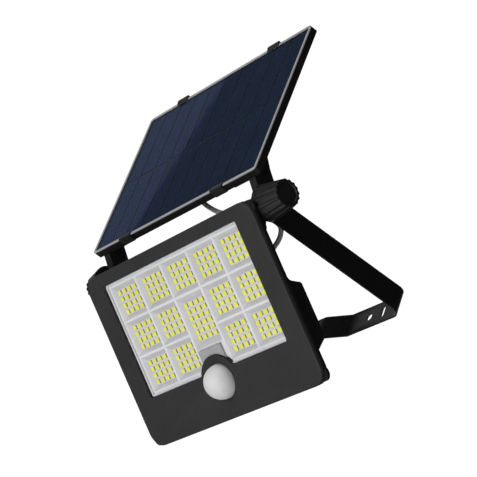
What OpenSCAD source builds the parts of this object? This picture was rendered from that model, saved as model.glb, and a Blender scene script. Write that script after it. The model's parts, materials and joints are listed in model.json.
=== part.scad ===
// Solar flood light: a lamp head and a solar panel that tilt on one pivot line of a bent wall bracket.
// Origin: middle of the bracket strap's back face. +Y points into the wall, +Z up, X along the pivot.
// Head pieces are drawn upright with the pivot line at their origin and -Y to the front, then tilted.

/* [Bracket] */
// Distance from the wall to the pivot line
arm_length = 118; // [114:1:130]
// Width of the bent steel strip
strip_w = 17.2; // [16.5:0.1:18.2]
// Thickness of the strip
strip_t = 1.2; // [1:0.1:1.4]
// Half the width over the two arms
arm_x = 89.6; // [89.6:0.1:89.9]
// Half the distance between the two round wall holes
wall_hole_x = 54.5; // [50:0.5:60]
// Radius of the round wall holes
wall_hole_r = 2.6; // [2:0.1:3]
// How far the middle of the strap stands off the wall
joggle = 7; // [3:0.5:8]

/* [Head] */
// Width of the head's front frame
head_w = 186.2; // [185.8:0.1:188]
// Height of the head's front frame
head_h = 122.6; // [122:0.1:124]
// Tilt of the head at rest, 0 facing straight out
head_tilt = 51; // [45:1:60]
// Distance of the head's face in front of the pivot line
face_y = 17.8; // [17.6:0.1:18]
// Width of the window
window_w = 150; // [149:0.5:151]
// Height of the window
window_h = 81.3; // [81:0.1:81.6]
// Pitch of the light-emitting chips across
chip_dx = 5.8; // [5:0.1:6]
// Pitch of the light-emitting chips down
chip_dz = 4.6; // [4:0.1:4.7]
// Radius of the sensor dome
dome_r = 11.7; // [10.5:0.1:11.8]

/* [Panel] */
// Width of the solar panel
panel_w = 186; // [182:0.1:188]
// Height of the solar panel
panel_h = 122; // [116:0.1:124]
// Lean of the panel at rest, 0 standing upright
panel_lean = 1; // [0:1:5]
// Distance of the panel's face in front of the pivot line
panel_y = 18.5; // [18.5:0.1:18.7]
// Thickness of the panel
panel_t = 5.6; // [5.6:0.1:5.8]
// Distance from the middle to the edge clips
clip_x = 52.5; // [45:0.5:60]

/* [Knobs] */
// Length of the right clamp knob
right_knob_len = 20.8; // [18:0.1:24]
// Length of the left clamp knob
left_knob_len = 15; // [14:0.1:18]
// Radius of a knob at its base
knob_r = 12.4; // [12:0.1:12.5]
// Radius of a knob at its end
knob_end_r = 9.3; // [9:0.1:10]
// Number of flutes round a knob
flutes = 16; // [14:1:18]

/* [Hidden] */
$fn = 64;

// clearances
run = 0.06;
gap = 0.3;

// pivot stack, from the inside out
bolt_r = 3;
leg_x0 = 81.8;
leg_x1 = 84.8;
strut_x0 = 80;
strut_x1 = 86.4;
washer_t = 0.9;
ear_x0 = 86;
ear_x1 = 88;
arm_in = arm_x - strip_t;
knob_x = arm_x + gap;
bend_r = 8;
strap_ramp_out = 34;
strap_ramp_in = 14;
slot_x = wall_hole_x + 14;
slot_w = 3.2;
slot_h = 8.7;

// head depths, measured back from the face
frame_back = face_y - 2.9;
frame_inner = face_y - 2.2;
flange_back = face_y - 4.9;
lens_y = face_y - 0.6;
lens_t = 1.2;
ridge_y = face_y - 3.4;
chip_t = 0.8;
board_front = 11.6;
board_t = 1.6;
board_back = board_front - board_t;
thin_back = 7;
box_back = -2;
cover_back = -12.5;
wall_t = 2.5;

// head outline, measured from the pivot line
head_top = 7.1;
head_mid = head_top - head_h / 2;
head_r = 11;
window_top = -1.7;
window_mid = window_top - window_h / 2;
body_w = 174.4;
body_top = 4.2;
body_bottom = head_top - head_h + 2.9;
boss_x = head_w / 2 - 3.8;
boss_r = 5;
boss_top = head_top - 5.8;
boss_bottom = head_top - head_h + 5.8;
boss_zs = [boss_top, boss_bottom];
sensor_z = -90.4;
arch_r = 18;
arch_fillet = 3;

// cell grid: rows and columns of the reflector
col_pitch = 29.5;
row_pitch = 25.4;
grid_top = -4.2;
ridge_w = 1.1;
chips_w = 3 * chip_dx + 3.4;
chips_h = 3 * chip_dz + 2.9;
tall_rows = 6;
chip_w = 3.4;
chip_h = 2.9;
board_screw_xs = [-79.4, 79.4];
board_screw_zs = [-14, -44];

// battery box on the head's back
box_x = 68;
box_z0 = -93.2;
box_z1 = -49.8;
cell_r = 9.25;
cell_len = 65;
cell_x0 = -62;
cell_y = 0.2;
cell_zs = [-62, -81];
tab_x = 71;
tab_zs = [-57, -86];
tab_r = 4.5;

// mode button on the battery box's right
button_x = 77;
button_z = -71.5;
button_travel = 1.5;

// panel
panel_z0 = 13.3;
panel_back = panel_y - panel_t;
rim_w = 1.9;
rim_t = 0.8;
cell_cols = 10;
cell_gap = 1.3;
leg_screw_zs = [panel_z0 + 6.5, panel_z0 + 18];
eye_r = 8;
jbox_x0 = -62;
jbox_x1 = -34;
jbox_z = 54;
jbox_back = 4;
lid_back = 1.9;

// cable from the junction box to the head, along points measured in the panel's own axes
cable_r = 1.7;
cable_sides = 8;
cable_route = [[-28, -6, 54], [-20, -5, 52.5], [-11, -1, 46], [-3.5, 3, 38.7], [6, 6, 32],
    [16.8, 8, 26], [30, 12, 21], [45, 18, 18.5], [55, 23, 17], [60.5, 29, 13.5],
    [57, 33.5, 9.5], [48, 37, 7], [38.5, 38.5, 2.5], [32, 35, -4]];
gland_x = 30;
gland_z = -30;
gland_tip = 8;

// ---- helpers -------------------------------------------------------------------------------

module in_head() {
    translate([0, -arm_length, 0]) rotate([head_tilt, 0, 0]) children();
}

module in_panel() {
    translate([0, -arm_length, 0]) rotate([-panel_lean, 0, 0]) children();
}

// extrudes an outline drawn in X and Z from depth a to depth b, depths counted forward of the pivot
module slab(a, b) {
    translate([0, -min(a, b), 0]) rotate([90, 0, 0]) linear_extrude(abs(a - b)) children();
}

// extrudes an outline drawn in Y and Z from x = a to x = b
module rib(a, b) {
    translate([a, 0, 0]) rotate([90, 0, 90]) linear_extrude(b - a) children();
}

module rounded(w, h, r) {
    square([w - 2 * r, h], center = true);
    square([w, h - 2 * r], center = true);
    for (x = [-1, 1], z = [-1, 1]) translate([x * (w / 2 - r), z * (h / 2 - r)]) circle(r);
}

module panel_outline(inset) {
    translate([0, panel_z0 + panel_h / 2])
        rounded(panel_w - 2 * inset, panel_h - 2 * inset, max(0.6, 3.2 - inset));
}

// a countersunk screw in the head, its point to the front; depth of the head's seat, depth of the tip
module flat_screw(x, z, seat, tip, shank) {
    translate([x, -seat, z]) rotate([90, 0, 0]) {
        cylinder(r1 = shank + 1.1, r2 = shank, h = 1.2);
        cylinder(r = shank, h = tip - seat);
    }
}

// a round-headed screw whose head sits on depth seat, on the back side
module pan_screw(x, z, seat, tip, shank) {
    translate([x, -seat, z]) rotate([90, 0, 0]) {
        cylinder(r = shank, h = tip - seat);
        difference() {
            translate([0, 0, -1.3]) cylinder(r1 = shank + 0.6, r2 = shank + 1.3, h = 1.3);
            translate([0, 0, -1.4]) linear_extrude(0.8) {
                square([0.5, 2.6], center = true);
                square([2.6, 0.5], center = true);
            }
        }
    }
}

module along_x(x, r, len) {
    translate([x, 0, 0]) rotate([0, 90, 0]) cylinder(r = r, h = len);
}

// ---- wall bracket --------------------------------------------------------------------------

module strap_half() {
    translate([strap_ramp_out, -strip_t]) square([arm_x - bend_r - strap_ramp_out, strip_t]);
    polygon([[strap_ramp_out, 0], [strap_ramp_out, -strip_t],
        [strap_ramp_in, -strip_t - joggle], [strap_ramp_in, -joggle]]);
    translate([0, -strip_t - joggle]) square([strap_ramp_in, strip_t]);
    translate([arm_in, -arm_length]) square([strip_t, arm_length - bend_r]);
    intersection() {
        translate([arm_x - bend_r, -bend_r]) difference() {
            circle(bend_r);
            circle(bend_r - strip_t);
        }
        translate([arm_x - bend_r, -bend_r]) square(bend_r);
    }
}

module wall_bracket() {
    color([0.07, 0.07, 0.075]) difference() {
        union() {
            linear_extrude(strip_w, center = true) {
                strap_half();
                mirror([1, 0]) strap_half();
            }
            translate([0, -arm_length, 0]) {
                along_x(arm_in, strip_w / 2, strip_t);
                along_x(-arm_x, strip_w / 2, strip_t);
            }
        }
        translate([0, -arm_length, 0]) along_x(-arm_x - 1, bolt_r + run, 2 * arm_x + 2);
        for (s = [-1, 1]) {
            translate([s * wall_hole_x, 1, 0]) rotate([90, 0, 0]) cylinder(r = wall_hole_r, h = 4);
            translate([s * slot_x, 1, 0]) rotate([90, 0, 0]) linear_extrude(4) {
                square([slot_w, slot_h - slot_w], center = true);
                for (e = [-1, 1]) translate([0, e * (slot_h - slot_w) / 2]) circle(slot_w / 2);
            }
        }
    }
}

// ---- head: frame, window, light ------------------------------------------------------------

// the window's opening, with the sensor's arch standing into it
module window_outline(inset) {
    flare_x = sqrt(pow(arch_r + arch_fillet, 2) - pow(arch_fillet + window_top - window_h - sensor_z, 2));
    flare_z = window_top - window_h + arch_fillet;
    difference() {
        translate([0, window_mid]) rounded(window_w - 2 * inset, window_h - 2 * inset, 1.4);
        translate([0, sensor_z]) circle(arch_r + inset);
        difference() {
            translate([-flare_x, flare_z - arch_fillet - 1]) square([2 * flare_x, arch_fillet + 1]);
            for (s = [-1, 1]) translate([s * flare_x, flare_z]) circle(arch_fillet - inset);
        }
    }
}

module front_frame() {
    color([0.16, 0.16, 0.165]) in_head() difference() {
        slab(face_y, frame_back) translate([0, head_mid]) rounded(head_w, head_h, head_r);
        slab(face_y + 1, frame_back - 1) window_outline(0);
        slab(frame_inner, frame_back - 1) translate([0, (body_top + body_bottom) / 2])
            rounded(body_w - 6, body_top - body_bottom - 6, 6);
        translate([0, -frame_back + 1, sensor_z]) rotate([90, 0, 0])
            cylinder(r = dome_r + 0.3, h = 6);
        translate([0, -face_y + 1.1, sensor_z]) rotate([90, 0, 0])
            cylinder(r1 = dome_r + 0.8, r2 = 16.6, h = 1.2);
        for (x = [-boss_x, boss_x], z = boss_zs) translate([x, -flange_back, z])
            rotate([90, 0, 0]) cylinder(r = 1.5, h = 3.8);
    }
}

module window_lens() {
    color([0.85, 0.88, 0.9, 0.3]) in_head() slab(lens_y, lens_y - lens_t) window_outline(0.15);
}

// the opening of one reflector cell, tapering from the ridges down to the chips
module cell_taper(w, h, chips) {
    hull() {
        translate([0, -ridge_y - 0.01, 0]) cube([w - ridge_w, 0.02, h - ridge_w], center = true);
        translate([0, -board_front + 0.01, 0]) cube([chips_w + 1.6, 0.02, chips + 1.6], center = true);
    }
}

function row_z(row) = grid_top - (row + 0.5) * row_pitch;

module reflector_grid() {
    tall_h = (tall_rows - 1) * chip_dz + chip_h;
    color([0.82, 0.82, 0.84]) in_head() difference() {
        slab(lens_y - lens_t, board_front) window_outline(0.3);
        slab(lens_y + 1, ridge_y) translate([0, window_mid])
            rounded(window_w - 2.6, window_h - 2.6, 1);
        for (col = [-2:2], row = [0:2]) if (col != 0 || row == 0)
            translate([col * col_pitch, 0, row_z(row)]) cell_taper(col_pitch, row_pitch, chips_h);
        translate([0, 0, grid_top - row_pitch - 18.6]) cell_taper(col_pitch, 37.2, tall_h);
        slab(lens_y + 1, board_front - 1) translate([-12, -77.6]) square([24, 10.6]);
    }
}

module sensor_baffle() {
    color([0.6, 0.6, 0.61]) in_head() {
        slab(lens_y - lens_t, frame_inner - 0.3) intersection() {
            translate([-11.8, -77.4]) square([23.6, 10.2]);
            window_outline(0.2);
        }
        difference() {
            slab(frame_inner - 0.2, board_front) translate([-11.8, -77.4]) square([23.6, 10.2]);
            translate([0, 0, sensor_z]) rotate([90, 0, 0]) cylinder(r = dome_r + 2.4, h = 40);
        }
    }
}

module led_board() {
    color([0.93, 0.93, 0.92]) in_head() difference() {
        slab(board_front, board_back) translate([0, -43.4]) rounded(164, 88.6, 2);
        slab(board_front + 1, board_back - 1) translate([-13, -90]) square([26, 12.4]);
        for (x = board_screw_xs, z = board_screw_zs) translate([x, 0, z]) rotate([90, 0, 0])
            cylinder(r = 1.25, h = 20);
    }
}

module chip(x, z) {
    translate([x - chip_w / 2, -board_front - chip_t, z - chip_h / 2]) cube([chip_w, chip_t, chip_h]);
}

module led_chips() {
    color([0.93, 0.9, 0.3]) in_head() {
        for (col = [-2:2], row = [0:2]) if (col != 0 || row == 0) for (i = [0:3], j = [0:3])
            chip(col * col_pitch + (i - 1.5) * chip_dx, row_z(row) + (1.5 - j) * chip_dz);
        for (i = [0:3], j = [0:tall_rows - 1])
            chip((i - 1.5) * chip_dx, grid_top - row_pitch - 18.6 + (2.5 - j) * chip_dz);
    }
}

module board_screws() {
    color([0.7, 0.7, 0.7]) in_head() for (x = board_screw_xs, z = board_screw_zs)
        translate([x, -board_front, z]) rotate([90, 0, 0]) {
            cylinder(r1 = 2.2, r2 = 1.6, h = 1.2);
            translate([0, 0, -3]) cylinder(r = 1.2, h = 3);
        }
}

// ---- head: back ----------------------------------------------------------------------------

function arc(cx, cy, r, a0, a1, n = 7) =
    [for (i = [0:n]) [cx + r * cos(a0 + (a1 - a0) * i / n), cy + r * sin(a0 + (a1 - a0) * i / n)]];

// side profile of the wide box: y back, z up, its shoulders rounded
module box_profile(shrink) {
    back = -box_back - shrink;
    polygon(concat([[-flange_back, -46.5 - shrink]], [[-thin_back, -46.5 - shrink]],
        arc(-thin_back + 4.2, -46.2 - shrink, 4.2, 180, 235),
        arc(back - 2.6, -54.6 - shrink, 2.6, 50, 0),
        arc(back - 2.6, -88.4 + shrink, 2.6, 0, -50),
        [[-thin_back, -95.4 + shrink], [-flange_back, -95.4 + shrink]]));
}

module ear_profile() {
    circle(strip_w / 2 - 0.4);
    polygon([[-flange_back, body_top], [-7.6, body_top], [0, 0], [-3.9, -7.8],
        [-6.2, -11.7], [-thin_back, -14.5], [-flange_back, -14.5]]);
}

module housing_solid() {
    body_mid = (body_top + body_bottom) / 2;
    slab(frame_back, flange_back) translate([0, head_mid]) rounded(head_w, head_h, head_r);
    for (x = [-boss_x, boss_x], z = boss_zs) translate([x, -flange_back, z])
        rotate([90, 0, 0]) cylinder(r = boss_r, h = frame_back - flange_back);
    slab(flange_back, thin_back) translate([0, body_mid]) rounded(body_w, body_top - body_bottom, 7);
    rib(-body_w / 2, body_w / 2) box_profile(0);
    slab(flange_back, box_back) translate([-box_x, box_z0]) square([2 * box_x, box_z1 - box_z0]);
    for (s = [-1, 1], z = tab_zs) translate([s * tab_x, 0, z]) rotate([-90, 0, 0])
        cylinder(r = tab_r, h = -box_back);
    for (x = [-ear_x1, ear_x0]) rib(x, x + ear_x1 - ear_x0) ear_profile();
}

module housing_hollow() {
    body_mid = (body_top + body_bottom) / 2;
    slab(frame_back + 1, board_back) translate([0, body_mid])
        rounded(body_w - 6, body_top - body_bottom - 6, 4);
    for (s = [0, 1]) mirror([s, 0, 0]) rib(box_x, body_w / 2 - 3) box_profile(wall_t);
    slab(board_back + 1, box_back - 1) translate([-box_x + wall_t, box_z0 + wall_t])
        square([2 * (box_x - wall_t), box_z1 - box_z0 - 2 * wall_t]);
}

module rear_housing() {
    color([0.05, 0.05, 0.055]) in_head() {
        difference() {
            housing_solid();
            housing_hollow();
            slab(frame_back + 1, frame_back - 1) translate([0, (body_top + body_bottom) / 2])
                difference() {
                    rounded(body_w + 0.6, body_top - body_bottom + 0.6, 7);
                    rounded(body_w - 3, body_top - body_bottom - 3, 5.4);
                }
            for (s = [0, 1]) mirror([s, 0, 0]) along_x(leg_x0 - 4.6, eye_r + 0.6, ear_x0 - leg_x0 + 4.6);
            along_x(-100, bolt_r + run, 200);
            for (x = [-boss_x, boss_x], z = boss_zs) flat_screw(x, z, flange_back, frame_back + 1, 1.5);
            for (s = [-1, 1], z = tab_zs) translate([s * tab_x, 3, z]) rotate([90, 0, 0])
                cylinder(r = 1.2, h = 7);
            translate([button_x, 3, button_z]) rotate([90, 0, 0]) cylinder(r = 2.5 + run, h = 6);
            translate([gland_x - 2, -board_back - 1, gland_z - 23.5]) cube([4, 2.6, 25.5]);
            translate([gland_x, 0, gland_z]) rotate([90, 0, 0]) cylinder(r = 3.5, h = 12);
            for (x = board_screw_xs, z = board_screw_zs) translate([x, -thin_back - 1, z])
                rotate([90, 0, 0]) cylinder(r = 1.2, h = 4);
        }
        for (x = [10, 57], z = [-56.3, -90.9]) translate([x, -5.6, z]) difference() {
            cube([5, 2.6, 4.2]);
            translate([2.5, -1, z < -70 ? 2.2 : 2]) rotate([-90, 0, 0]) cylinder(r = 0.9, h = 5);
        }
        for (z = [-66, -77]) translate([72.6, 0, z]) rotate([90, 0, 0]) translate([0, 0, 0.4])
            cylinder(r = 1.6, h = 6.2);
    }
}

module housing_screws() {
    color([0.25, 0.25, 0.26]) in_head() for (x = [-boss_x, boss_x], z = boss_zs)
        flat_screw(x, z, flange_back, face_y - 1.3, 1.5);
}

module frame_gasket() {
    color([0.1, 0.1, 0.1]) in_head() slab(frame_back, frame_back - 1)
        translate([0, (body_top + body_bottom) / 2]) difference() {
            rounded(body_w + 0.4, body_top - body_bottom + 0.4, 6.9);
            rounded(body_w - 2.8, body_top - body_bottom - 2.8, 5.5);
        }
}

module battery_cover() {
    w = 2 * box_x;
    h = box_z1 - box_z0;
    mid = (box_z0 + box_z1) / 2;
    color([0.05, 0.05, 0.055]) in_head() difference() {
        union() {
            slab(box_back, cover_back) translate([0, mid]) rounded(w, h, 4);
            for (s = [-1, 1], z = tab_zs) translate([s * tab_x, -box_back, z]) rotate([-90, 0, 0])
                cylinder(r = tab_r, h = 2.4);
        }
        slab(box_back + 1, cover_back + wall_t) translate([0, mid]) rounded(w - 5, h - 5, 0.6);
        for (s = [-1, 1], z = tab_zs) translate([s * tab_x, 0, z]) rotate([-90, 0, 0])
            cylinder(r = 1.5, h = 8);
    }
}

module cover_screws() {
    color([0.6, 0.6, 0.62]) in_head() for (s = [-1, 1], z = tab_zs)
        pan_screw(s * tab_x, z, box_back - 2.4, 3, 1.2);
}

module battery_cells() {
    color([0.15, 0.35, 0.65]) in_head() for (z = cell_zs) translate([0, cell_y, z]) {
        along_x(cell_x0, cell_r, cell_len);
        along_x(cell_x0 + cell_len, 3, 1);
    }
}

module battery_holder() {
    color([0.1, 0.1, 0.1]) in_head() difference() {
        slab(9.9, -5) translate([cell_x0 - 2.9, -90.6]) square([cell_len + 7.8, 38.2]);
        for (z = cell_zs) translate([0, cell_y, z]) along_x(cell_x0 - 0.6, cell_r + 0.1, cell_len + 2.8);
        slab(3, -6) translate([cell_x0 - 0.6, -91]) square([cell_len + 2.8, 39]);
    }
}

module battery_contacts() {
    color([0.75, 0.75, 0.72]) in_head() for (z = cell_zs) {
        translate([cell_x0 - 0.5, -4, z - 4]) cube([0.4, 8, 8]);
        translate([cell_x0 + cell_len + 1.1, -4, z - 4]) cube([0.4, 8, 8]);
    }
}

module control_board() {
    color([0.05, 0.3, 0.14]) in_head() difference() {
        slab(3, 1.4) translate([9.5, -90.3]) square([53.5, 38]);
        for (x = [12.5, 59.5], z = [-54.3, -88.7]) translate([x, 0, z]) rotate([90, 0, 0])
            cylinder(r = 1, h = 8);
    }
}

module board_components() {
    color([0.2, 0.2, 0.22]) in_head() {
        for (x = [18, 28]) translate([x, -1.4, -62]) rotate([-90, 0, 0]) cylinder(r = 3.9, h = 9);
        translate([36, -1.4, -66]) cube([12, 6, 10]);
        translate([20, -1.4, -80]) cube([7, 1.8, 9]);
        translate([33, -1.4, -84]) cube([5, 1.6, 6]);
        for (i = [0:3]) translate([44 + 4 * i, -1.4, -82]) cube([1.6, 0.8, 3.2]);
        translate([50, -1.4, -65]) cube([8, 5.5, 6]);
    }
}

module control_screws() {
    color([0.7, 0.7, 0.7]) in_head() for (x = [12.5, 59.5], z = [-54.3, -88.7])
        pan_screw(x, z, 1.4, 5.2, 0.85);
}

module led_leads() {
    color([0.7, 0.1, 0.1]) in_head() for (x = [24, 28]) translate([x, -3, -75]) rotate([90, 0, 0])
        cylinder(r = 0.7, h = board_back - 3);
}

module panel_leads() {
    color([0.7, 0.1, 0.1]) in_head() for (s = [-1, 1]) translate([gland_x + s * 0.9, -board_back + 0.8, 0]) {
        translate([0, 0, gland_z - 28]) cylinder(r = 0.7, h = 28);
        for (z = [gland_z - 28, gland_z]) translate([0, 0, z]) sphere(0.7);
        translate([0, 0, gland_z - 28]) rotate([-90, 0, 0]) cylinder(r = 0.7, h = board_back - 3.8);
        translate([0, 0, gland_z]) rotate([-90, 0, 0]) cylinder(r = 0.7, h = 1);
    }
}

// ---- head: sensor --------------------------------------------------------------------------

module sensor_dome() {
    base = face_y - 0.4;
    color([0.95, 0.95, 0.95]) in_head() translate([0, 0, sensor_z]) rotate([90, 0, 0])
        rotate_extrude() difference() {
            union() {
                intersection() {
                    translate([0, base]) circle(dome_r);
                    translate([0, base]) square(2 * dome_r);
                }
                translate([0, frame_inner]) square([dome_r, base - frame_inner]);
                translate([0, frame_inner - 1]) square([dome_r + 1.6, 1]);
            }
            intersection() {
                translate([0, base]) circle(dome_r - 1);
                translate([0, base]) square(2 * dome_r);
            }
            translate([0, frame_inner - 2]) square([dome_r - 1, base - frame_inner + 2]);
            translate([-2 * dome_r, 0]) square([2 * dome_r, 60]);
        }
}

module sensor_can() {
    color([0.75, 0.75, 0.77]) in_head() translate([0, -board_front, sensor_z]) rotate([90, 0, 0]) {
        cylinder(r = 4.6, h = 0.5);
        cylinder(r = 4.1, h = 4.2);
    }
}

module sensor_board() {
    color([0.05, 0.3, 0.14]) in_head() slab(board_front, board_back) translate([-11, -102])
        square([22, 24]);
}

// ---- head: button and gland ----------------------------------------------------------------

module mode_button() {
    color([0.16, 0.16, 0.17]) in_head() translate([button_x, 0, button_z]) rotate([-90, 0, 0]) {
        translate([0, 0, 3.8]) cylinder(r = 4.4, h = 2);
        translate([0, 0, -1.6]) cylinder(r = 2.5, h = 5.6);
        translate([0, 0, -1.6]) cylinder(r = 3.4, h = 1);
    }
}

module button_seal() {
    color([0.1, 0.1, 0.1]) in_head() translate([button_x, -box_back, button_z]) rotate([-90, 0, 0])
        difference() {
            cylinder(r1 = 6.6, r2 = 5.9, h = 2.6);
            translate([0, 0, -1]) cylinder(r = 4.8, h = 5);
        }
}

module switch_board() {
    color([0.05, 0.3, 0.14]) in_head() slab(8.2, 6.6) translate([70.8, -79]) square([12.8, 15]);
}

module mode_switch() {
    color([0.2, 0.2, 0.2]) in_head() translate([button_x, 0, button_z]) {
        translate([-3, -6.6, -3]) cube([6, 2.8, 6]);
        translate([0, -1.7 - button_travel, 0]) rotate([90, 0, 0]) cylinder(r = 1.7, h = 0.8);
    }
}

module head_gland() {
    color([0.07, 0.07, 0.07]) in_head() translate([gland_x, -thin_back, gland_z]) rotate([-90, 0, 0]) {
        translate([0, 0, -1.2]) cylinder(r = 3.4, h = 1.2);
        cylinder(r = 6.2, h = 4, $fn = 6);
        translate([0, 0, 4]) cylinder(r1 = 4.6, r2 = 2.5, h = gland_tip + thin_back - 4);
    }
}

// ---- panel ---------------------------------------------------------------------------------

module panel_tray() {
    color([0.05, 0.05, 0.055]) in_panel() difference() {
        union() {
            difference() {
                slab(panel_y - rim_t, panel_back) panel_outline(0);
                slab(panel_y + 1, panel_y - 1.9) panel_outline(rim_w);
                slab(panel_y - 3.5, panel_back - 1) panel_outline(7);
            }
            slab(panel_y - 3.5, panel_back) {
                for (x = [-60:30:60]) translate([x - 0.8, panel_z0 + 6.9]) square([1.6, panel_h - 13.8]);
                for (s = [-1, 1]) translate([s * 73.5 - 13, panel_z0 + 2]) square([26, 26]);
                translate([jbox_x0 - 1, jbox_z - 13]) square([jbox_x1 - jbox_x0 + 2, 26]);
            }
        }
        for (x = [-67.5, 67.5], z = leg_screw_zs) translate([x, 0, z]) rotate([90, 0, 0])
            cylinder(r = 1.5, h = panel_back + 1.7);
    }
}

module panel_rim() {
    color([0.6, 0.6, 0.62]) in_panel() slab(panel_y, panel_y - rim_t) difference() {
        panel_outline(0);
        panel_outline(rim_w);
    }
}

module solar_glass() {
    color([0.1, 0.14, 0.25, 0.35]) in_panel() slab(panel_y - 0.3, panel_y - 1) panel_outline(rim_w);
}

module solar_cells() {
    pitch = (panel_w - 2 * rim_w - 1) / cell_cols;
    tall = (panel_h - 2 * rim_w - 1) / 2;
    color([0.09, 0.12, 0.2]) in_panel() slab(panel_y - 1, panel_y - 1.2)
        for (col = [0:cell_cols - 1], row = [0, 1])
            translate([(col - (cell_cols - 1) / 2) * pitch, panel_z0 + panel_h / 2 + (row - 0.5) * tall])
                square([pitch - cell_gap, tall - cell_gap], center = true);
}

module back_sheet() {
    color([0.08, 0.09, 0.12]) in_panel() slab(panel_y - 1.2, panel_y - 1.9) panel_outline(rim_w);
}

module clip_profile() {
    polygon([[-panel_y, 0], [-panel_back - 0.3, 0], [-panel_back - 0.3, 1.4], [-panel_y - 0.9, 1.4],
        [-panel_y - 1.2, 1.1], [-panel_y - 1.2, -0.4], [-panel_y - 0.3, -2.9], [-panel_y, -2.9]]);
}

module panel_clips() {
    color([0.2, 0.2, 0.21]) in_panel() for (s = [-1, 1]) {
        translate([0, 0, panel_z0 + panel_h]) rib(s * clip_x - 6.1, s * clip_x + 6.1) clip_profile();
        translate([0, 0, panel_z0]) mirror([0, 0, 1]) rib(s * clip_x - 6.1, s * clip_x + 6.1)
            clip_profile();
    }
}

module junction_box() {
    color([0.06, 0.06, 0.06]) in_panel() difference() {
        slab(panel_back, jbox_back) translate([(jbox_x0 + jbox_x1) / 2, jbox_z]) rounded(28, 24, 3);
        slab(panel_back - 2, jbox_back - 1) translate([(jbox_x0 + jbox_x1) / 2, jbox_z])
            rounded(24, 20, 2);
        for (s = [-1, 1]) translate([(jbox_x0 + jbox_x1) / 2 + s * 12.4, 0, jbox_z + s * 10.4])
            rotate([90, 0, 0]) cylinder(r = 0.8, h = 9);
    }
}

module junction_lid() {
    color([0.06, 0.06, 0.06]) in_panel() difference() {
        slab(jbox_back, lid_back) translate([(jbox_x0 + jbox_x1) / 2, jbox_z]) rounded(28, 24, 3);
        for (s = [-1, 1]) translate([(jbox_x0 + jbox_x1) / 2 + s * 12.4, 0, jbox_z + s * 10.4])
            rotate([90, 0, 0]) cylinder(r = 0.8, h = 9);
    }
}

module junction_screws() {
    color([0.6, 0.6, 0.62]) in_panel() for (s = [-1, 1])
        pan_screw((jbox_x0 + jbox_x1) / 2 + s * 12.4, jbox_z + s * 10.4, lid_back, 8.5, 0.75);
}

module panel_gland() {
    color([0.07, 0.07, 0.07]) in_panel() translate([0, cable_route[0][1], jbox_z]) {
        rotate([0, 90, 0]) translate([0, 0, jbox_x1]) cylinder(r1 = 3.1, r2 = 2.3, h = -28 - jbox_x1);
    }
}

// the leg's side plate: an eye round the pivot and a band that runs up to the tray's back
module leg_profile() {
    circle(eye_r);
    polygon([[-panel_back, panel_z0], [-panel_back, panel_z0 + 22.7], [-5, 25.2], [4, 16], [7.4, 8],
        [eye_r, 0], [0, 0], [-0.15, 0.15]]);
}

module leg(side) {
    color([0.06, 0.06, 0.065]) in_panel() mirror([side < 0 ? 1 : 0, 0, 0]) difference() {
        union() {
            rib(leg_x0, leg_x1) leg_profile();
            rib(strut_x0, strut_x1) difference() {
                leg_profile();
                circle(strip_w / 2 + 0.3);
            }
            slab(panel_back, panel_back - 2) translate([62, panel_z0 + 2.2]) square([leg_x1 - 62, 20.4]);
        }
        along_x(leg_x0 - 1, bolt_r + run, 6);
        for (z = leg_screw_zs) translate([67.5, 0, z]) rotate([90, 0, 0])
            cylinder(r = 1.6, h = 20);
    }
}

module left_leg() { leg(-1); }

module right_leg() { leg(1); }

module leg_screws() {
    color([0.6, 0.6, 0.62]) in_panel() for (x = [-67.5, 67.5], z = leg_screw_zs)
        pan_screw(x, z, panel_back - 2, panel_back + 1.6, 1.5);
}

module bolt(side) {
    mirror([side < 0 ? 1 : 0, 0, 0]) {
        translate([leg_x0 - 3.6, 0, 0]) rotate([0, 90, 0]) cylinder(r = 5.4, h = 3.6, $fn = 6);
        along_x(leg_x0 - 1, bolt_r, knob_x + insert_len(side) - leg_x0 + 0.2);
    }
}

module pivot_bolts() {
    color([0.55, 0.55, 0.57]) in_panel() for (side = [-1, 1]) bolt(side);
}

module pivot_washers() {
    color([0.6, 0.6, 0.6]) in_panel() for (s = [0, 1]) mirror([s, 0, 0]) difference() {
        along_x(leg_x1, eye_r - 0.6, washer_t);
        along_x(leg_x1 - 1, bolt_r + run, washer_t + 2);
    }
}

// ---- cable ---------------------------------------------------------------------------------

function unit(v) = v / norm(v);
// the route's last points run into the head's gland, so they are worked out from it
gland_turn = head_tilt + panel_lean;
gland_dir = [0, cos(gland_turn), sin(gland_turn)];
gland_mouth = [gland_x, gland_tip * cos(gland_turn) - gland_z * sin(gland_turn),
    gland_tip * sin(gland_turn) + gland_z * cos(gland_turn)];
route = concat(cable_route, [gland_mouth]);
last = len(route) - 1;
function heading(i) = i == 0 ? [1, 0, 0] : i == last ? -gland_dir : unit(route[i + 1] - route[i - 1]);
function side_of(i) = unit(cross(heading(i), [0.2, -0.8, 0.55]));
function ring(i) = [for (k = [0:cable_sides - 1]) let (a = 360 * k / cable_sides)
    route[i] + cable_r * (cos(a) * side_of(i) + sin(a) * cross(heading(i), side_of(i)))];

module panel_cable() {
    n = cable_sides;
    points = [for (i = [0:last]) each ring(i)];
    sides = [for (i = [0:last - 1], k = [0:n - 1])
        [i * n + k, i * n + (k + 1) % n, (i + 1) * n + (k + 1) % n, (i + 1) * n + k]];
    ends = [[for (k = [n - 1:-1:0]) k], [for (k = [0:n - 1]) last * n + k]];
    color([0.3, 0.3, 0.31]) in_panel() polyhedron(points, concat(sides, ends), 4);
}

// ---- knobs ---------------------------------------------------------------------------------

function knob_len(side) = side < 0 ? left_knob_len : right_knob_len;
function insert_len(side) = knob_len(side) - 5;

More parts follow.
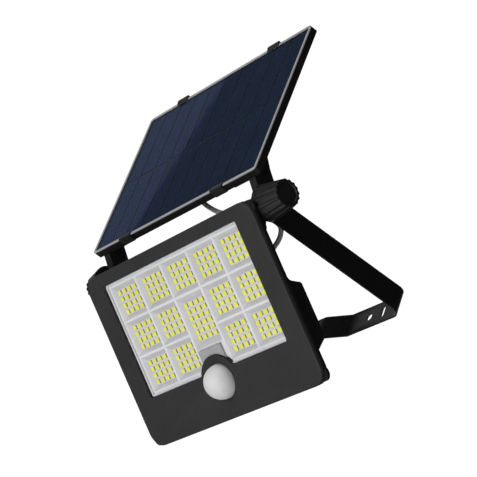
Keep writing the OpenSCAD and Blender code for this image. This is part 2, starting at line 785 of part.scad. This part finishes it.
module knob(side) {
    len = knob_len(side);
    slope = atan((knob_r - knob_end_r) / len);
    color([0.1, 0.1, 0.105]) translate([0, -arm_length, 0]) mirror([side < 0 ? 1 : 0, 0, 0])
        translate([knob_x, 0, 0]) rotate([0, 90, 0]) difference() {
            cylinder(r1 = knob_r, r2 = knob_end_r, h = len);
            for (i = [0:flutes - 1]) rotate([0, 0, 360 * i / flutes])
                translate([knob_r + 1.5, 0, 0]) rotate([0, -slope, 0])
                    translate([0, 0, 1.6]) cylinder(r = 2.1, h = len + 4);
            translate([0, 0, len - 0.8]) cylinder(r1 = 7, r2 = 7.8, h = 2);
            translate([0, 0, -1]) cylinder(r = 5, h = insert_len(side) + 2.2);
        }
}

module left_knob() { knob(-1); }

module right_knob() { knob(1); }

module insert(side) {
    color([0.75, 0.6, 0.3]) translate([0, -arm_length, 0]) mirror([side < 0 ? 1 : 0, 0, 0]) difference() {
        along_x(knob_x, 5, insert_len(side));
        along_x(knob_x - 1, bolt_r + run, insert_len(side) + 2);
    }
}

module left_insert() { insert(-1); }

module right_insert() { insert(1); }

// ---- what is built -------------------------------------------------------------------------

wall_bracket();
front_frame();
window_lens();
reflector_grid();
sensor_baffle();
led_board();
led_chips();
board_screws();
frame_gasket();
rear_housing();
housing_screws();
battery_cover();
cover_screws();
battery_cells();
battery_holder();
battery_contacts();
control_board();
board_components();
control_screws();
led_leads();
panel_leads();
sensor_dome();
sensor_can();
sensor_board();
mode_button();
button_seal();
switch_board();
mode_switch();
head_gland();
panel_tray();
panel_rim();
solar_glass();
solar_cells();
back_sheet();
panel_clips();
junction_box();
junction_lid();
junction_screws();
panel_gland();
left_leg();
right_leg();
leg_screws();
pivot_bolts();
pivot_washers();
panel_cable();
left_knob();
right_knob();
left_insert();
right_insert();
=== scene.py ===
"""Solar flood light: materials, fine shapes, light and camera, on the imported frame."""
import json
import math

import bmesh
import bpy
from mathutils import Matrix, Vector

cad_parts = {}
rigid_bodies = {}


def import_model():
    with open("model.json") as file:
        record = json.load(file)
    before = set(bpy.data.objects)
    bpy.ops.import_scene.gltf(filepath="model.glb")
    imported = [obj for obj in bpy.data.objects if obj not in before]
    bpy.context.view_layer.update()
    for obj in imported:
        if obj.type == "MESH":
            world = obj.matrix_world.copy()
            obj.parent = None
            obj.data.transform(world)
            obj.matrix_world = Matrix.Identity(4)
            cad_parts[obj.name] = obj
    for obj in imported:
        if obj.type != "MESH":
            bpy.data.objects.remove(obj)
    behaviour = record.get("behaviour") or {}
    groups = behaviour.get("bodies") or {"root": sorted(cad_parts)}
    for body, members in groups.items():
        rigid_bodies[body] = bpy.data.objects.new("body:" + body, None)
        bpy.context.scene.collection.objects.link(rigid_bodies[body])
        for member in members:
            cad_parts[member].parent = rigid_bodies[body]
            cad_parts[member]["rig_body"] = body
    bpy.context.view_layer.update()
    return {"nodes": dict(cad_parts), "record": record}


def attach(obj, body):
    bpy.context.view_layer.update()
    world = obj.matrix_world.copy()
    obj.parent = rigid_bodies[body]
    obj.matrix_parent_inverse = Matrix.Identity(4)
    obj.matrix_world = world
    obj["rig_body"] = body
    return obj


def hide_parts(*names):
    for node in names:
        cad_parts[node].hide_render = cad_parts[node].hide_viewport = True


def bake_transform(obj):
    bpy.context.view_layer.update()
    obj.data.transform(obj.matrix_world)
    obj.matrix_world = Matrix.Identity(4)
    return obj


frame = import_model()
nodes = frame["nodes"]
scene = bpy.context.scene
MM = 0.001

# The pivot line's middle, and the head's and the panel's axes at rest, both turned about it.
PIVOT = Vector((0, -118 * MM, 0))
HEAD = Matrix.Translation(PIVOT) @ Matrix.Rotation(math.radians(51), 4, "X")
PANEL = Matrix.Translation(PIVOT) @ Matrix.Rotation(math.radians(-1), 4, "X")
# Which way the window and the panel's glass face.
HEAD_FRONT = HEAD.to_3x3() @ Vector((0, -1, 0))
PANEL_FRONT = PANEL.to_3x3() @ Vector((0, -1, 0))
# How far the reflector's ridges stand in front of the pivot line.
RIDGE_TOP = 14.4 * MM


# ---- camera ----------------------------------------------------------------------------------

CAMERA_AT = Vector((1.0743, -0.6244, -0.7304))
CAMERA_AZIMUTH = math.radians(63.25)
CAMERA_ELEVATION = math.radians(-32.264)
CAMERA_ROLL = math.radians(20.339)
CAMERA_LENS = 162.1
CAMERA_SENSOR = 36


def make_camera():
    """A long lens from below and to the side, rolled about its own line of sight."""
    back = Vector((
        math.sin(CAMERA_AZIMUTH) * math.cos(CAMERA_ELEVATION),
        -math.cos(CAMERA_AZIMUTH) * math.cos(CAMERA_ELEVATION),
        math.sin(CAMERA_ELEVATION),
    ))
    level = Vector((math.cos(CAMERA_AZIMUTH), math.sin(CAMERA_AZIMUTH), 0))
    rise = back.cross(level)
    right = math.cos(CAMERA_ROLL) * level + math.sin(CAMERA_ROLL) * rise
    up = back.cross(right)
    data = bpy.data.cameras.new("camera")
    data.lens = CAMERA_LENS
    data.sensor_width = CAMERA_SENSOR
    data.clip_start = 0.1
    data.clip_end = 50
    camera = bpy.data.objects.new("camera", data)
    scene.collection.objects.link(camera)
    turn = Matrix((right, up, back)).transposed().to_4x4()
    camera.matrix_world = Matrix.Translation(CAMERA_AT) @ turn
    scene.camera = camera


make_camera()


# ---- meshes ----------------------------------------------------------------------------------

def new_piece(name, mesh, body, material, replaced=()):
    """A piece of the object: rides on its body, takes its slot, and stands for the named nodes."""
    piece = bpy.data.objects.new(name, mesh)
    scene.collection.objects.link(piece)
    if body:
        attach(piece, body)
    mesh.materials.clear()
    mesh.materials.append(material)
    if replaced:
        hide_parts(*replaced)
    return piece


def mesh_from(name, build):
    """A mesh filled by build(bm)."""
    bm = bmesh.new()
    build(bm)
    mesh = bpy.data.meshes.new(name)
    bm.to_mesh(mesh)
    bm.free()
    return mesh


def smooth_by_angle(mesh, degrees=40):
    """Smooth shading, with edges sharper than the angle kept sharp."""
    mesh.shade_smooth()
    bm = bmesh.new()
    bm.from_mesh(mesh)
    for edge in bm.edges:
        edge.smooth = len(edge.link_faces) == 2 and edge.calc_face_angle(0) < math.radians(degrees)
    bm.to_mesh(mesh)
    bm.free()


# ---- cable -----------------------------------------------------------------------------------

CABLE_R = 1.7 * MM
# The route from the junction box to the head's gland, in millimetres on the panel's axes.
CABLE_ROUTE = [
    (-28, -6, 54), (-20, -5, 52.5), (-11, -1, 46), (-3.5, 3, 38.7), (6, 6, 32),
    (16.8, 8, 26), (30, 12, 21), (45, 18, 18.5), (55, 23, 17), (60.5, 29, 13.5),
    (57, 33.5, 9.5), (48, 37, 7), (38.5, 38.5, 2.5), (32, 35, -4), (30, 28.57, -12.17),
]


def catmull(points, steps):
    """A smooth line through the points."""
    line = []
    for i in range(len(points) - 1):
        a = points[max(i - 1, 0)]
        b, c = points[i], points[i + 1]
        d = points[min(i + 2, len(points) - 1)]
        for k in range(steps):
            t = k / steps
            line.append(0.5 * (2 * b + (c - a) * t + (2 * a - 5 * b + 4 * c - d) * t * t
                               + (3 * b - a - 3 * c + d) * t ** 3))
    line.append(points[-1])
    return line


def tube(bm, line, radius, start, end, sides=20):
    """A closed tube along a line from one direction to another, its rings twisted as little as possible."""
    heads = []
    for i in range(len(line)):
        ahead = line[min(i + 1, len(line) - 1)] - line[max(i - 1, 0)]
        heads.append(ahead.normalized())
    heads[0] = start
    heads[-1] = end
    side = heads[0].orthogonal().normalized()
    rings = []
    for point, head in zip(line, heads):
        side = (side - head * side.dot(head)).normalized()
        other = head.cross(side)
        ring = []
        for k in range(sides):
            a = 2 * math.pi * k / sides
            ring.append(bm.verts.new(point + radius * (math.cos(a) * side + math.sin(a) * other)))
        rings.append(ring)
    for one, two in zip(rings, rings[1:]):
        for k in range(sides):
            j = (k + 1) % sides
            bm.faces.new((one[k], one[j], two[j], two[k]))
    bm.faces.new(reversed(rings[0]))
    bm.faces.new(rings[-1])


def make_cable(material):
    """The panel's cable, which bends between the head and the panel."""
    points = [PANEL @ (Vector(p) * MM) for p in CABLE_ROUTE]
    line = catmull(points, 8)
    out_of_box = Vector((1, 0, 0))
    mesh = mesh_from("panel_cable_sleeve", lambda bm: tube(
        bm, line, CABLE_R, start=out_of_box, end=HEAD_FRONT))
    smooth_by_angle(mesh)
    cable = new_piece("panel_cable_sleeve", mesh, None, material, ["panel_cable"])
    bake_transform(cable)


# ---- materials -------------------------------------------------------------------------------

class Nodes:
    """Short calls for building a material's nodes."""

    def __init__(self, name):
        self.material = bpy.data.materials.new(name)
        self.material.use_nodes = True
        self.tree = self.material.node_tree
        self.shader = self.tree.nodes["Principled BSDF"]
        self.place = self.add("ShaderNodeTexCoord").outputs["Object"]

    def add(self, kind, **settings):
        """A new node, with each setting put on its input or its property of that name."""
        node = self.tree.nodes.new(kind)
        for key, value in settings.items():
            if key in node.inputs:
                node.inputs[key].default_value = value
            else:
                setattr(node, key, value)
        return node

    def link(self, output, node, name):
        self.tree.links.new(output, node.inputs[name])

    def set(self, **values):
        for key, value in values.items():
            self.shader.inputs[key.replace("_", " ")].default_value = value

    def noise(self, scale, detail=3, roughness=0.5, stretch=None):
        node = self.add("ShaderNodeTexNoise", Scale=scale, Detail=detail, Roughness=roughness)
        place = self.place
        if stretch:
            mapping = self.add("ShaderNodeMapping", Scale=stretch)
            self.link(place, mapping, "Vector")
            place = mapping.outputs["Vector"]
        self.link(place, node, "Vector")
        return node.outputs["Fac"]

    def span(self, value, low, high, from_low=0.3, from_high=0.7):
        """The value, moved from one range to another."""
        node = self.add("ShaderNodeMapRange")
        node.inputs["From Min"].default_value = from_low
        node.inputs["From Max"].default_value = from_high
        node.inputs["To Min"].default_value = low
        node.inputs["To Max"].default_value = high
        self.link(value, node, "Value")
        return node.outputs["Result"]

    def colours(self, value, dark, light):
        node = self.add("ShaderNodeMix", data_type="RGBA")
        node.inputs[6].default_value = (*dark, 1)
        node.inputs[7].default_value = (*light, 1)
        self.link(value, node, 0)
        return node.outputs[2]

    def bump(self, heights, distance):
        """One bump from one or more height values."""
        height = heights[0]
        for more in heights[1:]:
            add = self.add("ShaderNodeMath", operation="ADD")
            self.link(height, add, 0)
            self.link(more, add, 1)
            height = add.outputs[0]
        node = self.add("ShaderNodeBump", Distance=distance, Strength=1.0)
        self.link(height, node, "Height")
        self.link(node.outputs["Normal"], self.shader, "Normal")


def moulded(name, dark, light, rough, gloss=0.45, coat=0.0):
    """Moulded plastic: fine spark-eroded grain, faint flow marks in colour and gloss."""
    n = Nodes(name)
    flow = n.noise(38, 2, 0.5)
    fine = n.noise(2600, 2, 0.6)
    n.link(n.colours(n.span(flow, 0, 1), dark, light), n.shader, "Base Color")
    n.link(n.span(n.noise(240, 4), rough[0], rough[1]), n.shader, "Roughness")
    n.bump([n.span(fine, 0, 1)], 0.00003)
    n.set(Specular_IOR_Level=gloss, Coat_Weight=coat, Coat_Roughness=0.12)
    return n.material


def powder_coat(name, dark, light, rough):
    """Baked powder on steel: orange-peel waves with a fine speckle."""
    n = Nodes(name)
    peel = n.noise(900, 2, 0.4)
    speck = n.noise(3800, 1, 0.5)
    n.link(n.colours(n.span(n.noise(55, 3), 0, 1), dark, light), n.shader, "Base Color")
    n.link(n.span(peel, rough[0], rough[1]), n.shader, "Roughness")
    n.bump([n.span(peel, 0, 1), n.span(speck, 0, 0.35)], 0.000008)
    n.set(Specular_IOR_Level=0.5)
    return n.material


def plated(name, colour, rough=(0.22, 0.38)):
    """Zinc or nickel plate: turning marks and small dull patches."""
    n = Nodes(name)
    tint = tuple(c * 0.82 for c in colour)
    n.link(n.colours(n.span(n.noise(420, 4), 0, 1), tint, colour), n.shader, "Base Color")
    n.link(n.span(n.noise(900, 3), rough[0], rough[1]), n.shader, "Roughness")
    n.bump([n.span(n.noise(5200, 1, 0.5, stretch=(1, 0.15, 0.15)), 0, 1)], 0.00001)
    n.set(Metallic=1.0)
    return n.material


def soft_rubber(name, dark, light, rough=(0.55, 0.75)):
    """Rubber or a soft sleeve: even colour with a dull fine skin."""
    n = Nodes(name)
    n.link(n.colours(n.span(n.noise(130, 3), 0, 1), dark, light), n.shader, "Base Color")
    n.link(n.span(n.noise(700, 3), rough[0], rough[1]), n.shader, "Roughness")
    n.bump([n.span(n.noise(3000, 2), 0, 1)], 0.00003)
    n.set(Specular_IOR_Level=0.35)
    return n.material


def thin_glass(name, tint, rough, reflect):
    """A thin clear sheet: what is behind shows through, and its front reflects at shallow angles."""
    n = Nodes(name)
    through = n.add("ShaderNodeBsdfTransparent", Color=(*tint, 1))
    mirror = n.add("ShaderNodeBsdfAnisotropic")
    n.link(n.span(n.noise(300, 3), rough * 0.7, rough * 1.4), mirror, "Roughness")
    shallow = n.add("ShaderNodeFresnel", IOR=1.0 + reflect)
    side = n.add("ShaderNodeNewGeometry")
    front = n.add("ShaderNodeMath", operation="SUBTRACT")
    front.inputs[0].default_value = 1.0
    n.link(side.outputs["Backfacing"], front, 1)
    share = n.add("ShaderNodeMath", operation="MULTIPLY")
    n.link(shallow.outputs[0], share, 0)
    n.link(front.outputs[0], share, 1)
    mix = n.add("ShaderNodeMixShader")
    n.link(share.outputs[0], mix, 0)
    n.link(through.outputs[0], mix, 1)
    n.link(mirror.outputs[0], mix, 2)
    n.link(mix.outputs[0], n.tree.nodes["Material Output"], "Surface")
    n.tree.nodes.remove(n.shader)
    return n.material


def circuit_board(name, mask, trace):
    """Solder mask over copper: faint raised traces and a gloss coat."""
    n = Nodes(name)
    brick = n.add("ShaderNodeTexBrick", Scale=420.0)
    brick.inputs["Mortar Size"].default_value = 0.03
    n.link(n.place, brick, "Vector")
    n.link(n.colours(n.span(brick.outputs["Fac"], 0, 1, 0, 1), mask, trace), n.shader, "Base Color")
    n.link(n.span(n.noise(500, 3), 0.3, 0.5), n.shader, "Roughness")
    n.bump([n.span(brick.outputs["Fac"], 0, 1, 0, 1)], 0.00002)
    return n.material


def milky_dome():
    """Milky moulded lens: light goes a little way in, and its facets are pressed from inside."""
    n = Nodes("dome_plastic")
    n.link(n.colours(n.span(n.noise(160, 3), 0, 1), (0.88, 0.88, 0.88), (0.93, 0.93, 0.93)),
           n.shader, "Base Color")
    n.link(n.span(n.noise(700, 3), 0.34, 0.46), n.shader, "Roughness")
    facets = n.add("ShaderNodeTexVoronoi", Scale=330.0, feature="SMOOTH_F1")
    n.link(n.place, facets, "Vector")
    n.bump([n.span(n.noise(1800, 2), 0, 0.15), n.span(facets.outputs["Distance"], 0, 1, 0, 0.8)], 0.00012)
    n.set(Subsurface_Weight=0.9, Subsurface_Radius=(0.009, 0.009, 0.009), Subsurface_Scale=1.0)
    return n.material


def bright_reflector():
    """Pale moulded plastic with fine dimples that spread the chips' light, and a painted highlight along
    its ridge crests.
    """
    n = Nodes("reflector")
    cells = n.add("ShaderNodeTexVoronoi", Scale=700.0)
    n.link(n.place, cells, "Vector")
    walls = n.colours(n.span(n.noise(90, 3), 0, 1), (0.50, 0.50, 0.53), (0.54, 0.54, 0.57))
    depth = n.add("ShaderNodeVectorMath", operation="DOT_PRODUCT")
    n.link(n.place, depth, 0)
    depth.inputs[1].default_value = HEAD_FRONT
    # Painted highlight: within half a millimetre behind the ridge tops, the crests get a lighter colour
    # than the walls.
    ridge = HEAD_FRONT.dot(PIVOT) + RIDGE_TOP
    painted_ridge_highlight = n.span(depth.outputs["Value"], 0, 1, ridge - 0.5 * MM, ridge - 0.1 * MM)
    painted_highlight_mix = n.add("ShaderNodeMix", data_type="RGBA")
    n.link(painted_ridge_highlight, painted_highlight_mix, 0)
    n.link(walls, painted_highlight_mix, 6)
    painted_highlight_mix.inputs[7].default_value = (0.65, 0.65, 0.68, 1)
    n.link(painted_highlight_mix.outputs[2], n.shader, "Base Color")
    n.link(n.span(n.noise(420, 3), 0.4, 0.52), n.shader, "Roughness")
    n.bump([n.span(cells.outputs["Distance"], 0, 1, 0, 0.6)], 0.00003)
    n.set(Metallic=0.08, Specular_IOR_Level=0.5, Subsurface_Weight=0.4,
          Subsurface_Radius=(0.004, 0.004, 0.004), Subsurface_Scale=1.0)
    return n.material


def phosphor():
    """Yellow phosphor set in clear resin."""
    n = Nodes("phosphor")
    n.link(n.colours(n.span(n.noise(900, 3), 0, 1), (0.68, 0.70, 0.05), (0.76, 0.78, 0.08)),
           n.shader, "Base Color")
    n.link(n.span(n.noise(1500, 2), 0.25, 0.4), n.shader, "Roughness")
    n.bump([n.span(n.noise(4000, 2), 0, 1)], 0.00003)
    return n.material


def silicon():
    """Blue polished cell: fine silver fingers across it, and crystal patches that barely show."""
    n = Nodes("silicon")
    wave = n.add("ShaderNodeTexWave", Scale=260.0, bands_direction="Z")
    n.link(n.place, wave, "Vector")
    patches = n.add("ShaderNodeTexVoronoi", Scale=60.0)
    n.link(n.place, patches, "Vector")
    base = n.colours(n.span(patches.outputs["Distance"], 0, 1, 0, 0.9),
                     (0.0152, 0.0232, 0.042), (0.0178, 0.027, 0.049))
    lines = n.add("ShaderNodeMix", data_type="RGBA")
    n.link(n.span(wave.outputs["Fac"], 0, 0.35, 0.93, 1.0), lines, 0)
    n.link(base, lines, 6)
    lines.inputs[7].default_value = (0.05, 0.07, 0.10, 1)
    n.link(lines.outputs[2], n.shader, "Base Color")
    n.link(n.span(n.noise(200, 3), 0.03, 0.05), n.shader, "Roughness")
    n.bump([n.span(wave.outputs["Fac"], 0, 1, 0.9, 1.0)], 0.0000001)
    n.set(Metallic=0.3, Specular_IOR_Level=0.01, Specular_Tint=(0.2, 0.5, 1, 1))
    return n.material


LOOKS = {
    "bracket_paint": powder_coat("bracket_paint", (0.002, 0.002, 0.0022), (0.003, 0.003, 0.0033),
                                 (0.16, 0.22)),
    "frame_plastic": moulded("frame_plastic", (0.018, 0.018, 0.0185), (0.021, 0.021, 0.0215),
                             (0.6, 0.72), gloss=0.25),
    "housing_plastic": moulded("housing_plastic", (0.005, 0.005, 0.005), (0.008, 0.008, 0.008),
                               (0.42, 0.58), gloss=0.2),
    "lens": thin_glass("lens", (0.99, 0.99, 0.99), 0.06, 0.2),
    "reflector": bright_reflector(),
    "baffle_plastic": moulded("baffle_plastic", (0.30, 0.30, 0.303), (0.335, 0.335, 0.339), (0.4, 0.5)),
    "board_white": circuit_board("board_white", (0.57, 0.57, 0.60), (0.52, 0.52, 0.55)),
    "board_green": circuit_board("board_green", (0.02, 0.16, 0.06), (0.03, 0.24, 0.10)),
    "phosphor": phosphor(),
    "steel": plated("steel", (0.62, 0.62, 0.63)),
    "black_screw": plated("black_screw", (0.06, 0.06, 0.062), (0.35, 0.5)),
    "seal_rubber": soft_rubber("seal_rubber", (0.010, 0.010, 0.010), (0.018, 0.018, 0.018)),
    "cell_wrap": moulded("cell_wrap", (0.05, 0.18, 0.45), (0.06, 0.22, 0.52), (0.2, 0.35), coat=0.4),
    "holder_plastic": moulded("holder_plastic", (0.01, 0.01, 0.01), (0.02, 0.02, 0.02), (0.4, 0.6)),
    "contact_metal": plated("contact_metal", (0.72, 0.70, 0.64)),
    "component_plastic": moulded("component_plastic", (0.02, 0.02, 0.022), (0.035, 0.035, 0.037),
                                 (0.3, 0.5)),
    "lead_red": soft_rubber("lead_red", (0.35, 0.02, 0.02), (0.45, 0.03, 0.03), (0.35, 0.5)),
    "dome_plastic": milky_dome(),
    "can_metal": plated("can_metal", (0.66, 0.66, 0.67)),
    "button_plastic": moulded("button_plastic", (0.03, 0.03, 0.032), (0.04, 0.04, 0.042), (0.4, 0.55)),
    "gland_plastic": moulded("gland_plastic", (0.008, 0.008, 0.009), (0.012, 0.012, 0.013), (0.4, 0.6)),
    "rim_plastic": moulded("rim_plastic", (0.27, 0.27, 0.275), (0.32, 0.32, 0.325), (0.3, 0.4)),
    "panel_glass": thin_glass("panel_glass", (0.97, 0.98, 0.99), 0.02, 0.06),
    "silicon": silicon(),
    "back_film": moulded("back_film", (0.002, 0.0025, 0.004), (0.003, 0.0035, 0.006), (0.4, 0.5)),
    "clip_plastic": moulded("clip_plastic", (0.011, 0.011, 0.0115), (0.014, 0.014, 0.0145),
                            (0.45, 0.55), gloss=0.3),
    "leg_plastic": moulded("leg_plastic", (0.005, 0.005, 0.005), (0.008, 0.008, 0.008), (0.4, 0.55)),
    "cable_sleeve": soft_rubber("cable_sleeve", (0.46, 0.462, 0.465), (0.52, 0.522, 0.525), (0.35, 0.5)),
    "knob_plastic": moulded("knob_plastic", (0.006, 0.006, 0.0065), (0.009, 0.009, 0.0095),
                            (0.32, 0.42), gloss=0.38),
    "insert_brass": plated("insert_brass", (0.72, 0.52, 0.25)),
}
SLOT_OF = {entry["node"]: entry["material_slot"] for entry in frame["record"]["subparts"]}

make_cable(LOOKS["cable_sleeve"])


# ---- pieces from the frame -------------------------------------------------------------------

def body_of(node):
    """The moving body that a node belongs to."""
    return nodes[node]["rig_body"]


def softened(node, width):
    """The node's own shape with its edges rounded, standing for it."""
    mesh = nodes[node].data.copy()
    mesh.name = node + "_moulded"
    bm = bmesh.new()
    bm.from_mesh(mesh)
    bmesh.ops.remove_doubles(bm, verts=bm.verts, dist=1e-6)
    bmesh.ops.dissolve_limit(bm, angle_limit=math.radians(1.0), verts=bm.verts, edges=bm.edges)
    bm.to_mesh(mesh)
    bm.free()
    smooth_by_angle(mesh)
    slot = SLOT_OF[node]
    piece = new_piece(node + "_moulded", mesh, body_of(node), LOOKS[slot], [node])
    edges = piece.modifiers.new("rounded edges", "BEVEL")
    edges.width = width
    edges.segments = 3
    edges.limit_method = "ANGLE"
    edges.angle_limit = math.radians(32)
    edges.harden_normals = True
    edges.use_clamp_overlap = True
    return piece


def lifted(node, front, by):
    """The node's clear sheet with its back lifted off the face it lies on, standing for it."""
    mesh = nodes[node].data.copy()
    mesh.name = node + "_sheet"
    back = min(vert.co.dot(front) for vert in mesh.vertices)
    for vert in mesh.vertices:
        if vert.co.dot(front) < back + by:
            vert.co += front * by
    slot = SLOT_OF[node]
    new_piece(node + "_sheet", mesh, body_of(node), LOOKS[slot], [node])


# The frame's outer front edge on the head's axes: in front of RIM_FACE, and past one of the other three.
RIM_FACE = -17.7 * MM
RIM_SIDE = 81 * MM
RIM_TOP = 2 * MM
RIM_FOOT = -110 * MM


def round_rim(piece, width):
    """Rounds the front edge of the frame's outline by more than its other edges."""
    rim = piece.vertex_groups.new(name="front rim")
    to_head = HEAD.inverted()
    for vert in piece.data.vertices:
        x, y, z = to_head @ (piece.matrix_world @ vert.co)
        if y < RIM_FACE and (abs(x) > RIM_SIDE or z > RIM_TOP or z < RIM_FOOT):
            rim.add([vert.index], 1.0, "REPLACE")
    edges = piece.modifiers.new("rounded rim", "BEVEL")
    edges.width = width
    edges.segments = 5
    edges.limit_method = "VGROUP"
    edges.vertex_group = rim.name
    edges.harden_normals = True
    piece.modifiers.move(len(piece.modifiers) - 1, 0)


for name, piece in nodes.items():
    piece.data.materials.clear()
    piece.data.materials.append(LOOKS[SLOT_OF[name]])


def bevelled(name, mesh, body, material, width, replaced=()):
    """A new piece with its edges rounded."""
    piece = new_piece(name, mesh, body, material, replaced)
    edges = piece.modifiers.new("rounded edges", "BEVEL")
    edges.width = width
    edges.segments = 2
    edges.limit_method = "ANGLE"
    edges.harden_normals = True
    return piece


def block(bm, low, high, place):
    """A box between two corners, moved by a matrix."""
    size = Vector(high) - Vector(low)
    middle = (Vector(high) + Vector(low)) / 2
    move = place @ Matrix.Translation(middle) @ Matrix.Diagonal((*size, 1))
    bmesh.ops.create_cube(bm, size=1.0, matrix=move)


# The chips stand in groups of four by four, and a taller group in the middle.
CHIP_W, CHIP_H, CHIP_T = 3.4 * MM, 2.9 * MM, 0.8 * MM
CHIP_DX, CHIP_DZ = 5.8 * MM, 4.6 * MM
GROUP_DX, GROUP_DZ = 29.5 * MM, 25.4 * MM
GRID_TOP = -4.2 * MM
BOARD_FACE = -11.6 * MM
# From the top of the second row of groups down to the taller group's middle.
TALL_GROUP_DROP = 18.6 * MM
# The dark strip of the package that shows beside each pad.
DARK_STRIP = 0.35 * MM


def chip_places():
    """The middle of each chip's foot, in the head's own axes."""
    places = []
    for col in range(-2, 3):
        for row in range(3):
            tall = col == 0 and row == 1
            if col == 0 and row == 2:
                continue
            rows = 6 if tall else 4
            middle = GRID_TOP - GROUP_DZ - TALL_GROUP_DROP if tall else GRID_TOP - (row + 0.5) * GROUP_DZ
            for i in range(4):
                for j in range(rows):
                    x = col * GROUP_DX + (i - 1.5) * CHIP_DX
                    z = middle + ((rows - 1) / 2 - j) * CHIP_DZ
                    places.append(Vector((x, BOARD_FACE, z)))
    return places


def make_chips():
    """Each chip is a dark brown package, with a domed phosphor pad over most of it that leaves a dark strip
    at one side.
    """
    def packages(bm):
        for p in chip_places():
            block(bm, p + Vector((-CHIP_W / 2, -CHIP_T * 0.75, -CHIP_H / 2)),
                  p + Vector((CHIP_W / 2, 0, CHIP_H / 2)), HEAD)

    def pads(bm):
        for p in chip_places():
            block(bm, p + Vector((-CHIP_W / 2, -CHIP_T, -CHIP_H / 2)),
                  p + Vector((CHIP_W / 2 - DARK_STRIP, -CHIP_T * 0.2, CHIP_H / 2)), HEAD)

    bevelled("chip_packages", mesh_from("chip_packages", packages), "head",
             DARK_PACKAGE_LOOK, 0.1 * MM, ["led_chips"])
    bevelled("chip_pads", mesh_from("chip_pads", pads), "head", LOOKS["phosphor"], 0.12 * MM)


# The package's dark brown colour is what shows as the dark strip beside each pad.
DARK_PACKAGE_LOOK = moulded("dark_package", (0.24, 0.17, 0.10), (0.31, 0.23, 0.14), (0.35, 0.5))
make_chips()

softened("wall_bracket", 0.35 * MM)
lifted("solar_glass", PANEL_FRONT, 0.1 * MM)
lifted("window_lens", HEAD_FRONT, 0.1 * MM)
front = softened("front_frame", 0.4 * MM)
round_rim(front, 1.2 * MM)
for name, width in (
        ("rear_housing", 0.5), ("battery_cover", 0.8), ("left_leg", 0.4), ("right_leg", 0.4),
        ("left_knob", 0.4), ("right_knob", 0.4), ("panel_tray", 0.4), ("panel_rim", 0.15),
        ("panel_clips", 0.25), ("junction_box", 0.3), ("junction_lid", 0.3)):
    softened(name, width * MM)


# ---- light and floor -------------------------------------------------------------------------

def plane_at(name, centre, normal, width, height, material, up=(0, 0, 1)):
    """A flat rectangle facing along normal."""
    n = Vector(normal).normalized()
    across = Vector(up).cross(n).normalized() * width / 2
    along = n.cross(across).normalized() * height / 2
    c = Vector(centre)
    mesh = bpy.data.meshes.new(name)
    mesh.from_pydata([c - across - along, c + across - along, c + across + along, c - across + along],
                     [], [(0, 1, 2, 3)])
    obj = bpy.data.objects.new(name, mesh)
    scene.collection.objects.link(obj)
    mesh.materials.append(material)


def glow(name, strength):
    """White light of its own, the same from everywhere."""
    material = bpy.data.materials.new(name)
    material.use_nodes = True
    tree = material.node_tree
    tree.nodes.clear()
    out = tree.nodes.new("ShaderNodeOutputMaterial")
    shine = tree.nodes.new("ShaderNodeEmission")
    shine.inputs["Color"].default_value = (1, 1, 1, 1)
    shine.inputs["Strength"].default_value = strength
    tree.links.new(shine.outputs[0], out.inputs["Surface"])
    return material


def area_light(name, at, towards, size, power):
    """A rectangular lamp that faces a point."""
    data = bpy.data.lights.new(name, "AREA")
    data.shape = "RECTANGLE"
    data.size, data.size_y = size
    data.energy = power
    light = bpy.data.objects.new(name, data)
    scene.collection.objects.link(light)
    light.location = at
    light.rotation_euler = (Vector(towards) - Vector(at)).to_track_quat("-Z", "Y").to_euler()


def card(name, corners, strength):
    """A glowing card with four given corners."""
    mesh = bpy.data.meshes.new(name)
    mesh.from_pydata(corners, [], [(0, 1, 2, 3)])
    obj = bpy.data.objects.new(name, mesh)
    scene.collection.objects.link(obj)
    mesh.materials.append(glow(name + "_glow", strength))


BACKDROP_AWAY = 1.6
BACKDROP_SIZE = 1.6
FLOOR_AT = -1.2
FLOOR_SIZE = 12
CARD_AT = -1


def make_studio():
    """A white backdrop, a pale floor, two cards and four lamps."""
    world = bpy.data.worlds.new("studio")
    world.use_nodes = True
    sky = world.node_tree.nodes["Background"]
    sky.inputs["Color"].default_value = (1, 1, 1, 1)
    sky.inputs["Strength"].default_value = 0.045
    scene.world = world
    scene.view_settings.view_transform = "Standard"
    paper = bpy.data.materials.new("floor_paper")
    paper.use_nodes = True
    paper.node_tree.nodes["Principled BSDF"].inputs["Base Color"].default_value = (0.85, 0.85, 0.85, 1)
    paper.node_tree.nodes["Principled BSDF"].inputs["Roughness"].default_value = 0.9
    plane_at("floor", (0, 0, FLOOR_AT), (0, 0, 1), FLOOR_SIZE, FLOOR_SIZE, paper, up=(0, 1, 0))
    away = -scene.camera.matrix_world.to_3x3().col[2]
    plane_at("backdrop", away * BACKDROP_AWAY, -away, BACKDROP_SIZE, BACKDROP_SIZE,
             glow("backdrop_glow", 1.05))
    # Part of the panel mirrors this card, and the card's slanted edge ends that lighter part.
    card("left_card", [(CARD_AT, -0.476, 0.2), (CARD_AT, 0, 0.2), (CARD_AT, 0, 1.5),
                       (CARD_AT, -0.625, 1.5)], 0.45)
    # This one lights the strap's flats from just behind the first.
    low_card_at = CARD_AT - 0.002
    card("low_card", [(low_card_at, -1.0, 0.1), (low_card_at, -0.45, 0.1), (low_card_at, -0.45, 0.516),
                      (low_card_at, -1.0, 1.419)], 0.34)
    area_light("front_low", (0.2, -1.35, -1.0), (0, -0.1, 0), (1.4, 1.4), 25)
    area_light("front_high", (0.3, -1.4, 0.8), (0, -0.1, 0), (1.2, 1.2), 14)
    area_light("under", (0.1, -0.2, -1.15), (0, -0.1, 0), (1.2, 1.2), 9)
    area_light("right_fill", (1.3, 0.5, -0.9), (0, 0, 0), (0.7, 0.7), 3)


make_studio()
